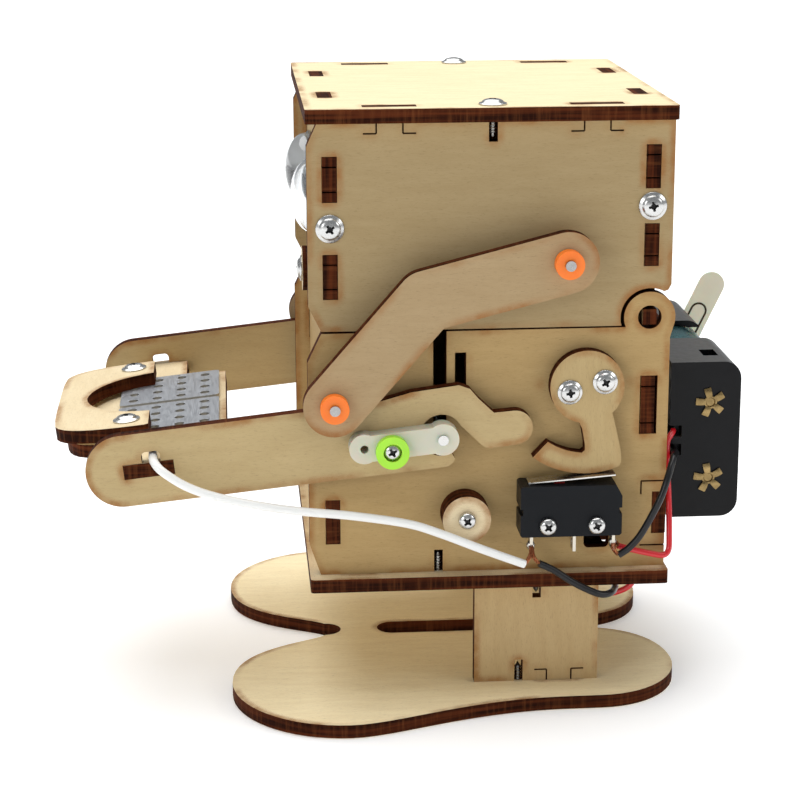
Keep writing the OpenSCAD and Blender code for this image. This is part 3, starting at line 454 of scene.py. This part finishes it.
for order, (name, (axis, grain)) in enumerate(PLATES.items()):
    # The ply colours of each plate, with its painted light and shade multiplied in
    lit_and_shaded_tones = (LIT_CREAM, LIT_CREAM_WARM) if name in LIT_CREAM_PLATES else (PALE, WARM)
    lit_and_shaded_tones = [tuple(min(c * k, 0.97) for c, k in zip(tone, LIGHT_AND_SHADE_TONES.get(name, (1, 1, 1)))) for tone in lit_and_shaded_tones]
    dress(name, plywood("ply_" + name, axis, lit_and_shaded_tones[0], lit_and_shaded_tones[1], grain, order + 1))
for name, (colour, rough, brushed) in METALS.items():
    dress(name, metal("metal_" + name, colour, rough, brushed))
for name, facts in PLASTICS.items():
    dress(name, plastic("plastic_" + name, **facts))
for name, width in BEVELS.items():
    soften(name, width)
# Painted sheen: the battery holder's up-facing faces turn grey, standing in for the overhead light's
# reflection
paint_top_sheen(NODES["battery_holder"].material_slots[0].material, (0.085, 0.085, 0.085), 0.5, 1.0)


# ---- Wires ----

WHITE_ROUTE = [
    (-29.8, -22.8, 53.95), (-29.8, -31, 53.95), (-29.8, -38.6, 54), (-29.5, -42.3, 53.5), (-27.8, -44.2, 52),
    (-23.5, -44.6, 49.2), (-18, -44.6, 47), (-10, -44.5, 45), (-2, -44.4, 43.6), (8, -44.4, 42.4),
    (18.5, -44.6, 40.6), (25, -44.8, 38.4), (31.5, -44.6, 35.6), (36.5, -44, 33.4), (41.4, -43, 31.2)]
BLACK_BATTERY_ROUTE = [
    (73.2, -27.2, 49.2), (73.1, -30.4, 49.4), (72.4, -34, 50.2), (71.2, -37.8, 50.3), (69.9, -40.2, 47.8),
    (68.4, -41.3, 43.9), (66.5, -41.5, 39.9), (64.3, -41.5, 35.9), (62.2, -41.4, 33.4), (60.2, -41.2, 31.9)]
RED_MOTOR_ROUTE = [
    (63.4, -31, 30.3), (63.8, -31, 27), (65, -31, 23.4), (64.2, -30.6, 21.4), (61.5, -29.4, 19.8),
    (58.4, -27.6, 19), (54, -25, 18.8), (49.5, -22, 20), (47.3, -20.2, 22.6), (47, -20, 26),
    (47, -19.6, 31), (47.6, -16, 42), (49.4, -9, 54), (50.3, -5.2, 62), (50.4, -5.2, 65), (50.4, -6.75, 65.7)]
BLACK_MOTOR_ROUTE = [
    (44.3, -42.8, 31.2), (47.3, -42.6, 29.6), (50.8, -42.6, 27.2), (54.2, -42.5, 25.3), (56.8, -42.2, 24.2),
    (58.9, -40.8, 24), (60.2, -37.6, 23.8), (61, -33.8, 23.6), (61.4, -31.1, 25.6), (61.4, -30.6, 29.5),
    (61.2, -28, 37), (60, -20, 48), (57.4, -9, 58), (56.8, -5.2, 63), (56.8, -5.2, 65.2), (56.8, -6.75, 65.7)]
RED_BATTERY_ROUTE = [
    (73.2, -27.2, 53), (72.6, -29.4, 53.2), (71.3, -31, 51.6), (71.1, -32.6, 48), (70.95, -35, 43),
    (70.9, -36.6, 39), (70.8, -37.9, 35), (70.6, -38.7, 31.9), (69.4, -39.1, 30.9),
    (66.5, -39.1, 31.4), (63, -39.1, 32.3), (60.3, -39.3, 33.2)]

WIRES = {
    "white_wire": (WHITE_ROUTE, 1.7, (0.86, 0.86, 0.84), "wire_white"),
    "black_battery_wire": (BLACK_BATTERY_ROUTE, 1.4, (0.010, 0.010, 0.011), "wire_black"),
    "black_motor_wire": (BLACK_MOTOR_ROUTE, 1.4, (0.010, 0.010, 0.011), "wire_black"),
    "red_battery_wire": (RED_BATTERY_ROUTE, 1.2, (0.60, 0.008, 0.016), "wire_red"),
    "red_motor_wire": (RED_MOTOR_ROUTE, 1.2, (0.60, 0.008, 0.016), "wire_red"),
}


for name, (route, width, colour, finish) in WIRES.items():
    path = spline([point(*p) for p in route], 8)
    work = bmesh.new()
    add_tube(work, path, width * MM / 2)
    jacket = new_object(name + "_jacket", finish_mesh(work, name + "_jacket", 60),
                        plastic("jacket_" + name, colour, 0.30, grain=260.0, depth=0.06, patch=0.05,
                                coat=0.12 if finish == "wire_black" else 0.4,
                                specular=0.25 if finish == "wire_black" else 0.5))
    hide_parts(name)
    if name == "white_wire":
        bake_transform(jacket)
    else:
        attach(jacket, "frame")


# ---- Screws ----

ARM_TILT = math.radians(6.2)
HUB = (25.4, 56.95)
STEEL = metal("screw_steel", (0.60, 0.60, 0.59), 0.24, scratch=0.07, tint=0.14)
# A near-black metal fills the cross recesses as painted shade
RECESS_SHADE = metal("screw_recess_shade", (0.055, 0.055, 0.055), 0.5, scratch=0.2)
THREAD = metal("screw_thread", (0.52, 0.51, 0.48), 0.30, scratch=0.2, tint=0.4)


def arm_point(u, y, v):
    """A point in the arms' own frame, u along the arm and v across it."""
    return point(HUB[0] + u * math.cos(ARM_TILT) - v * math.sin(ARM_TILT), y,
                 HUB[1] + u * math.sin(ARM_TILT) + v * math.cos(ARM_TILT))


def arm_direction(x, y, z):
    return Vector((x * math.cos(ARM_TILT) - z * math.sin(ARM_TILT), y,
                   x * math.sin(ARM_TILT) + z * math.cos(ARM_TILT)))


def facing(at, along, turn=0.0):
    """Puts +Z along a direction, at a point in metres, for a piece drawn in millimetres."""
    return (Matrix.Translation(at) @ along.to_track_quat("Z", "Y").to_matrix().to_4x4()
            @ Matrix.Rotation(math.radians(turn), 4, "Z") @ Matrix.Scale(MM, 4))


def washer_profile(r):
    return [(r - 0.12, 0), (r, 0.1), (r, 0.26), (r - 0.1, 0.36), (r * 0.80, 0.50), (r * 0.76, 0.60),
            (r * 0.70, 0.80), (r * 0.58, 0.98), (r * 0.40, 1.10), (r * 0.20, 1.17), (0, 1.2)]


def pan_profile(r):
    return [(r - 0.08, 0), (r, 0.1), (r, 0.7), (r * 0.94, 1.0), (r * 0.78, 1.26), (r * 0.5, 1.43), (0, 1.5)]


def screw_head(profile, recess):
    """A screw head with a cross recess cut into it, as a mesh in millimetres."""
    work = bmesh.new()
    lathe(work, profile, Matrix.Identity(4), 40)
    head = new_object("head_blank", finish_mesh(work, "head_blank", 40), STEEL)
    head.data.materials.append(RECESS_SHADE)
    top = profile[-1][1]
    work = bmesh.new()
    for turn in (0, 90):
        corners = []
        floor_and_mouth = ((top - recess * 0.62, recess * 0.42, 0.16), (top + 0.4, recess, 0.30))
        for z, half, wide in floor_and_mouth:
            for x, y in ((-half, -wide), (half, -wide), (half, wide), (-half, wide)):
                turned = Matrix.Rotation(math.radians(turn), 4, "Z") @ Vector((x, y, z))
                corners.append(work.verts.new(turned))
        for loop in ((3, 2, 1, 0), (4, 5, 6, 7), (0, 1, 5, 4), (1, 2, 6, 5), (2, 3, 7, 6), (3, 0, 4, 7)):
            work.faces.new([corners[i] for i in loop])
    lathe(work, [(0, top - recess * 0.74), (recess * 0.42, top - recess * 0.35), (recess * 0.5, top + 0.4)],
          Matrix.Identity(4), 16)
    cutter = new_object("cutter", finish_mesh(work, "cutter", 40), RECESS_SHADE)
    cut = head.modifiers.new("recess", "BOOLEAN")
    cut.object = cutter
    cut.operation = "DIFFERENCE"
    cut.solver = "EXACT"
    cut.use_self = True
    cut.material_mode = "TRANSFER"
    made = bpy.data.meshes.new_from_object(head.evaluated_get(bpy.context.evaluated_depsgraph_get()))
    bpy.data.objects.remove(head)
    bpy.data.objects.remove(cutter)
    return made


HEADS = {
    "washer": screw_head(washer_profile(2.7), 1.25),
    "cam": screw_head(washer_profile(2.4), 1.15),
    "pan": screw_head(pan_profile(1.7), 1.15),
}


def screws(name, body, node, places):
    """One piece for a group of screws. places: (head, shank length, position, direction, turn)."""
    work = bmesh.new()
    for kind, length, at, along, turn in places:
        matrix = facing(at, along, turn)
        part = HEADS[kind].copy()
        part.transform(matrix)
        work.from_mesh(part)
        profile = [(0.5, 0.02), (0.62, -0.02)]
        z = -0.4
        while z > -(length - 1.3):
            profile += [(0.58, z), (0.79, z - 0.22), (0.79, z - 0.30), (0.58, z - 0.52)]
            z -= 0.62
        profile += [(0.52, -(length - 0.7)), (0, -length)]
        marked = len(work.faces)
        lathe(work, profile, matrix, 18)
        work.faces.ensure_lookup_table()
        for face in work.faces[marked:]:
            face.material_index = 2
    mesh = bpy.data.meshes.new(name)
    work.to_mesh(mesh)
    work.free()
    for material in (STEEL, RECESS_SHADE, THREAD):
        mesh.materials.append(material)
    smooth(mesh, 38)
    piece = new_object(name, mesh)
    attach(piece, body)
    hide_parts(node)


LEFT, RIGHT, FRONT = Vector((0, -1, 0)), Vector((0, 1, 0)), Vector((-1, 0, 0))
UP, DOWN = Vector((0, 0, 1)), Vector((0, 0, -1))
SIDES = ((-1, LEFT), (1, RIGHT))

head_places = [("washer", 7, point(0.5, 0, 81.9), FRONT, 25)]
body_places = [("pan", 9.5, point(x, -43.4, 39), LEFT, turn) for x, turn in ((45.8, 40), (55.3, 25))]
arm_places = []
for sign, out in SIDES:
    head_places += [("washer", 6.6, point(35.4, sign * 35.65, 119.6), UP, 30),
                    ("washer", 7, point(4.55, sign * 37, 96.75), out, 35),
                    ("washer", 7, point(65.95, sign * 37, 100.15), out, 12)]
    body_places += [("washer", 7, point(25.2, sign * 35.65, 25.4), DOWN, 10),
                    ("washer", 7, point(45.4, sign * 31.15, 28.1), UP, 40),
                    ("pan", 8, point(30.2, sign * 42.4, 40.3), out, 50)]
    arm_places += [("pan", 6, arm_point(-9.9, sign * 44, -0.9), out, 30),
                   ("washer", 7, arm_point(-60.6, sign * 21, 5.7), arm_direction(0, 0, 1), 20)]
cam_places = [("cam", 5.4, point(53.6 + sign * 3.4, -40.1, 65.7 + sign * 0.95), LEFT, 20 + sign * 12)
              for sign in (-1, 1)]

screws("head_screw_set", "head", "head_screws", head_places)
screws("body_screw_set", "frame", "body_screws", body_places)
screws("arm_screw_set", "arms", "arm_screws", arm_places)
screws("cam_screw_set", "cam", "cam_screws", cam_places)
dress("motor_screws", STEEL)

THREAD_PITCH = 0.62
work = bmesh.new()
for sign, out in SIDES:
    place = Matrix.Translation(point(41.9, sign * 31.15, 0.05)) @ Matrix.Scale(MM, 4)
    lathe(work, [(0, 1.15), (1.2, 1.1), (1.5, 0.35), (1.75, 0.1), (1.7, 0), (0.6, 0.0), (0.45, 0.5),
                 (0, 0.55)], place, 32)
    rings = [(0.55, 1.1)]
    for k in range(7):
        rise = THREAD_PITCH * k
        rings += [(0.58, 1.3 + rise), (0.79, 1.5 + rise), (0.58, 1.75 + rise)]
    lathe(work, rings + [(0, 6.4)], place, 18)
foot_screws = new_object("foot_screw_set", finish_mesh(work, "foot_screw_set"), THREAD)
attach(foot_screws, "frame")

work = bmesh.new()
for sign, out in SIDES:
    lathe(work, [(0.95, 0), (1.75, 0), (1.9, 0.15), (1.9, 1.15), (1.75, 1.3), (0.95, 1.3), (0.8, 1.1),
                 (0.8, 0.2), (0.95, 0)],
          facing(arm_point(-60.6, sign * 21, -2.0), arm_direction(0, 0, 1)), 6)
nuts = new_object("tray_nuts", finish_mesh(work, "tray_nuts", 30), STEEL)
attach(nuts, "arms")


# ---- Eyes ----

def clear_plastic(name):
    n = Nodes(name)
    film = n.noise(n.place(), 120.0, 3.0, 0.5)
    n.set(Base_Color=n.mix(film, (0.97, 0.98, 0.99), (0.92, 0.94, 0.96)),
          Roughness=n.levels(film, 0.3, 0.7, 0.02, 0.06))
    n.set(Transmission_Weight=1.0, IOR=1.46)
    return n.material


EYE_Y, EYE_Z, PANEL_X = 17.0, 99.9, 3.2
domes, backs, pupils = bmesh.new(), bmesh.new(), bmesh.new()
for sign in (-1, 1):
    place = facing(point(PANEL_X, sign * EYE_Y, EYE_Z), FRONT)
    angles = [math.radians(6 * k) for k in range(15)]
    outer = [(8.0, 0.02), (8.0, 0.5), (7.85, 0.72), (7.55, 0.85)]
    outer += [(7.5 * math.cos(a), 0.9 + 4.5 * math.sin(a)) for a in angles[1:]] + [(0, 5.4)]
    inner = [(0, 4.96)] + [(7.06 * math.cos(a), 0.9 + 4.06 * math.sin(a)) for a in reversed(angles)]
    lathe(domes, outer + inner + [(7.3, 0.4), (7.3, 0.02), (8.0, 0.02)], place, 64)
    lathe(backs, [(6.75, 0.02), (6.9, 0.1), (6.9, 0.55), (6.7, 0.7), (5.5, 0.66), (0, 0.62)], place, 64)
    lathe(pupils, [(3.4, 0), (3.6, 0.12), (3.6, 0.55), (3.35, 0.7), (2.4, 0.66), (0, 0.6)],
          facing(point(PANEL_X - 1, sign * EYE_Y, EYE_Z - 3.2), FRONT), 48)
for name, node, work, material, finish in (
        ("eye_lenses", "eye_domes", domes, clear_plastic("lens_clear"), "eye_clear"),
        ("eye_cards", "eye_backs", backs, plastic("card_white", (0.90, 0.90, 0.88), 0.5), "eye_white"),
        ("eye_dots", "eye_pupils", pupils, plastic("dot_black", (0.006, 0.006, 0.007), 0.25, coat=0.5),
         "eye_black")):
    piece = new_object(name, finish_mesh(work, name, 40), material)
    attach(piece, "head")
    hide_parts(node)


# ---- Battery cells, contacts and springs ----

CELL_X, HOLDER_Z, CELL_PITCH, HOLDER_L = 80.2, 51.3, 15.6, 57.5
CONTACT_SIZE = (8, 8, 0.33)
CONTACT_MIDDLE = 0.185
PETALS = 5
PETAL_TURN = 30
# Stations along one petal: distance from the rivet's middle, half width, height of its top
PETAL_SHAPE = ((0.95, 0.46, 0.30), (1.35, 0.62, 0.46), (2.0, 0.68, 0.48), (2.6, 0.72, 0.38),
               (2.95, 0.70, 0.26))
# Corners of a petal's cross-section: share of the half width, depth below its top
PETAL_SECTION = ((-1, 0), (-0.5, -0.07), (0.5, -0.07), (1, 0), (1, 0.22), (-1, 0.22))
wrap, ends, brass = bmesh.new(), bmesh.new(), bmesh.new()
for sign in (-1, 1):
    z = HOLDER_Z + sign * CELL_PITCH / 2
    place = facing(point(CELL_X, sign * 0.9, z), Vector((0, sign, 0)))
    lathe(wrap, [(6.3, -24.9), (6.9, -24.85), (7.1, -24.6), (7.1, 23.9), (6.9, 24.3), (6.0, 24.35),
                 (6.0, 24.2)], place, 64)
    lathe(ends, [(0, -25.0), (6.25, -25.0), (6.35, -24.8), (6.35, -24.5)], place, 64)
    lathe(ends, [(6.0, 24.1), (6.05, 24.3), (5.2, 24.5), (2.8, 24.5), (2.7, 24.6), (2.7, 25.3), (2.5, 25.5),
                 (0, 25.5)], place, 64)
for sign in (-1, 1):
    for end in (-1, 1):
        z = HOLDER_Z + sign * CELL_PITCH / 2
        place = facing(point(CELL_X, end * HOLDER_L / 2, z), Vector((0, end, 0)))
        for k in range(PETALS):
            petal = place @ Matrix.Rotation(math.radians(PETAL_TURN + 2 * sign + 360 / PETALS * k), 4, "Z")
            rows = []
            for x, half, top in PETAL_SHAPE:
                rows.append([brass.verts.new(petal @ Vector((x, half * side, top - down)))
                             for side, down in PETAL_SECTION])
            for low, high in zip(rows, rows[1:]):
                for i in range(len(PETAL_SECTION)):
                    j = (i + 1) % len(PETAL_SECTION)
                    brass.faces.new((low[i], low[j], high[j], high[i]))
            brass.faces.new(rows[0])
            brass.faces.new(list(reversed(rows[-1])))
        lathe(brass, [(0.75, 0.02), (1.25, 0.05), (1.3, 0.26), (1.15, 0.34), (0.95, 0.30), (0.80, 0.05),
                      (0.75, -0.9)], place, 32)
        lathe(brass, [(0, -0.9), (0.7, -0.9), (0.7, -1.6), (0, -1.6)], place, 16)
        inner = facing(point(CELL_X, end * (HOLDER_L / 2 - 1.5), z), Vector((0, -end, 0)))
        plate = inner @ Matrix.Translation((0, 0, CONTACT_MIDDLE)) @ Matrix.Diagonal((*CONTACT_SIZE, 1))
        made = bmesh.ops.create_cube(brass, size=1, matrix=plate)
        bmesh.ops.bevel(brass, geom=list({e for v in made["verts"] for e in v.link_edges}), offset=0.1 * MM,
                        segments=2, affect="EDGES")
        if sign * end < 0:
            coil = []
            for k in range(97):
                t = k / 96
                turn = 2 * math.pi * 4 * t
                r = 2.9 - 0.9 * t
                coil.append(inner @ Vector((r * math.cos(turn), r * math.sin(turn), 0.62 + 2.1 * t)))
            add_tube(brass, coil, 0.25 * MM, 8)
for name, work, node, material, finish in (
        ("cell_wraps", wrap, "battery_cells", metal("cell_wrap_foil", (0.05, 0.16, 0.17), 0.3, tint=0.3),
         "cell_wrap"),
        ("cell_ends", ends, None, metal("cell_nickel", (0.62, 0.61, 0.59), 0.25), "steel_plate"),
        ("cell_contacts", brass, "battery_contacts",
         metal("contact_brass", (0.38, 0.265, 0.115), 0.32, tint=0.8), "brass")):
    piece = new_object(name, finish_mesh(work, name, 40), material)
    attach(piece, "frame")
    if node:
        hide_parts(node)


# ---- The die-cut slit in the pull strip, with a dark tube along it as painted shade of its cut edge ----

TAB_TIP = (92, 71)
TAB_LEAN = math.radians(64.7 - 180)
TAB_Y = HOLDER_L / 2 - 1.5 - 0.36 - 0.4 + 0.15
SLIT_AT, SLIT_RADIUS, SLIT_END = 6.4, 1.675, 14.8


def tab_point(u, v):
    return point(TAB_TIP[0] + u * math.cos(TAB_LEAN) - v * math.sin(TAB_LEAN), TAB_Y,
                 TAB_TIP[1] + u * math.sin(TAB_LEAN) + v * math.cos(TAB_LEAN))


slit_shade_path = [tab_point(SLIT_END, SLIT_RADIUS)]
for k in range(25):
    turn = math.radians(90 + 180 * k / 24)
    slit_shade_path.append(tab_point(SLIT_AT + SLIT_RADIUS * math.cos(turn), SLIT_RADIUS * math.sin(turn)))
slit_shade_path.append(tab_point(SLIT_END, -SLIT_RADIUS))
work = bmesh.new()
add_tube(work, slit_shade_path, 0.27 * MM, 10)
slit_shade = new_object("strip_slit_shade", finish_mesh(work, "strip_slit_shade", 50),
                  plastic("slit_painted_shade", (0.055, 0.045, 0.028), 0.7, grain=500.0, depth=0.2, specular=0.1))
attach(slit_shade, "frame")


# ---- Bare copper at the switch's first and third terminals ----

def bare_strands(work, tip, eye, sag, count, seed):
    """Loose strands that leave a wire's cut end and wrap a terminal."""
    for strand in range(count):
        turn = 2 * math.pi * strand / count + seed
        path = []
        for k in range(15):
            t = k / 14
            core = tip.lerp(eye, t) + Vector((sag, -0.3, 0)) * math.sin(t * math.pi) * MM
            spin = turn + 5.0 * t
            r = (0.34 + 0.10 * math.sin(3 * t + strand)) * MM
            path.append(core + Vector((r * math.cos(spin), r * math.sin(spin), 0)))
        add_tube(work, path, 0.11 * MM, 6)


work = bmesh.new()
bare_strands(work, point(41.4, -43, 31.2), point(42.9, -41.9, 34.5), 0.5, 7, 0)
bare_strands(work, point(44.3, -42.8, 31.2), point(43.0, -41.9, 34.2), -0.4, 6, 1)
bare_strands(work, point(60.2, -41.2, 31.9), point(59.0, -41.6, 34.6), -0.4, 7, 2)
bare_strands(work, point(60.3, -39.3, 33.2), point(59.1, -39.6, 34.8), 0.2, 5, 3)
copper = new_object("copper_strands", finish_mesh(work, "copper_strands", 50),
                    metal("copper", (0.44, 0.155, 0.07), 0.34, tint=0.7))
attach(copper, "frame")

work = bmesh.new()
for x, y, z, size in ((42.9, -40.4, 34.2, 0.95), (59.0, -40.6, 34.6, 0.85)):
    lathe(work, [(0, -1.1), (0.55, -0.85), (0.9, -0.3), (0.95, 0.2), (0.7, 0.75), (0.3, 1.0), (0, 1.05)],
          facing(point(x, y, z), Vector((0.1, 0, 1))) @ Matrix.Scale(size, 4), 24)
solder = new_object("solder_beads", finish_mesh(work, "solder_beads", 60),
                    metal("solder", (0.62, 0.61, 0.58), 0.3))
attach(solder, "frame")


# ---- Stage ----

PAPER_LIFT = 0.20  # keeps the backdrop white outside the contact shadows


def make_stage():
    mesh = bpy.data.meshes.new("floor")
    size = 6.0
    corners = [(-size, -size, 0), (size, -size, 0), (size, size, 0), (-size, size, 0)]
    mesh.from_pydata(corners, [], [(0, 1, 2, 3)])
    n = Nodes("floor_paper")
    soft = n.noise(n.place(), 30.0, 2.0, 0.5)
    paper = n.mix(soft, (0.93, 0.93, 0.93), (0.96, 0.96, 0.96))
    n.set(Base_Color=paper, Roughness=0.9, Emission_Color=paper, Emission_Strength=PAPER_LIFT)
    floor = new_object("floor", mesh, n.material)
    floor.location.z = -0.0002

    world = bpy.data.worlds.new("studio")
    world.use_nodes = True
    background = world.node_tree.nodes["Background"]
    background.inputs[0].default_value = (0.94, 0.97, 1.0, 1)
    background.inputs[1].default_value = 0.34
    bpy.context.scene.world = world


def area_light(name, at, aim, size, power, colour=(1, 1, 1)):
    data = bpy.data.lights.new(name, "AREA")
    data.shape = "DISK"
    data.size = size
    data.energy = power
    data.color = colour
    light = bpy.data.objects.new(name, data)
    light.location = at
    light.rotation_euler = (Vector(aim) - Vector(at)).to_track_quat("-Z", "Y").to_euler()
    bpy.context.scene.collection.objects.link(light)


make_stage()
sun = bpy.data.lights.new("overhead", "SUN")
sun.energy = 3.1
sun.angle = math.radians(70)
overhead = bpy.data.objects.new("overhead", sun)
overhead.rotation_euler = (math.radians(-14), math.radians(-6), 0)
bpy.context.scene.collection.objects.link(overhead)
area_light("front_light", (-0.9, -1.0, 0.5), (0, 0, 0.06), 0.5, 3.0)
area_light("side_light", (1.0, -0.5, 0.6), (0, 0, 0.06), 0.5, 2.0)
bpy.context.scene.view_settings.view_transform = "Standard"
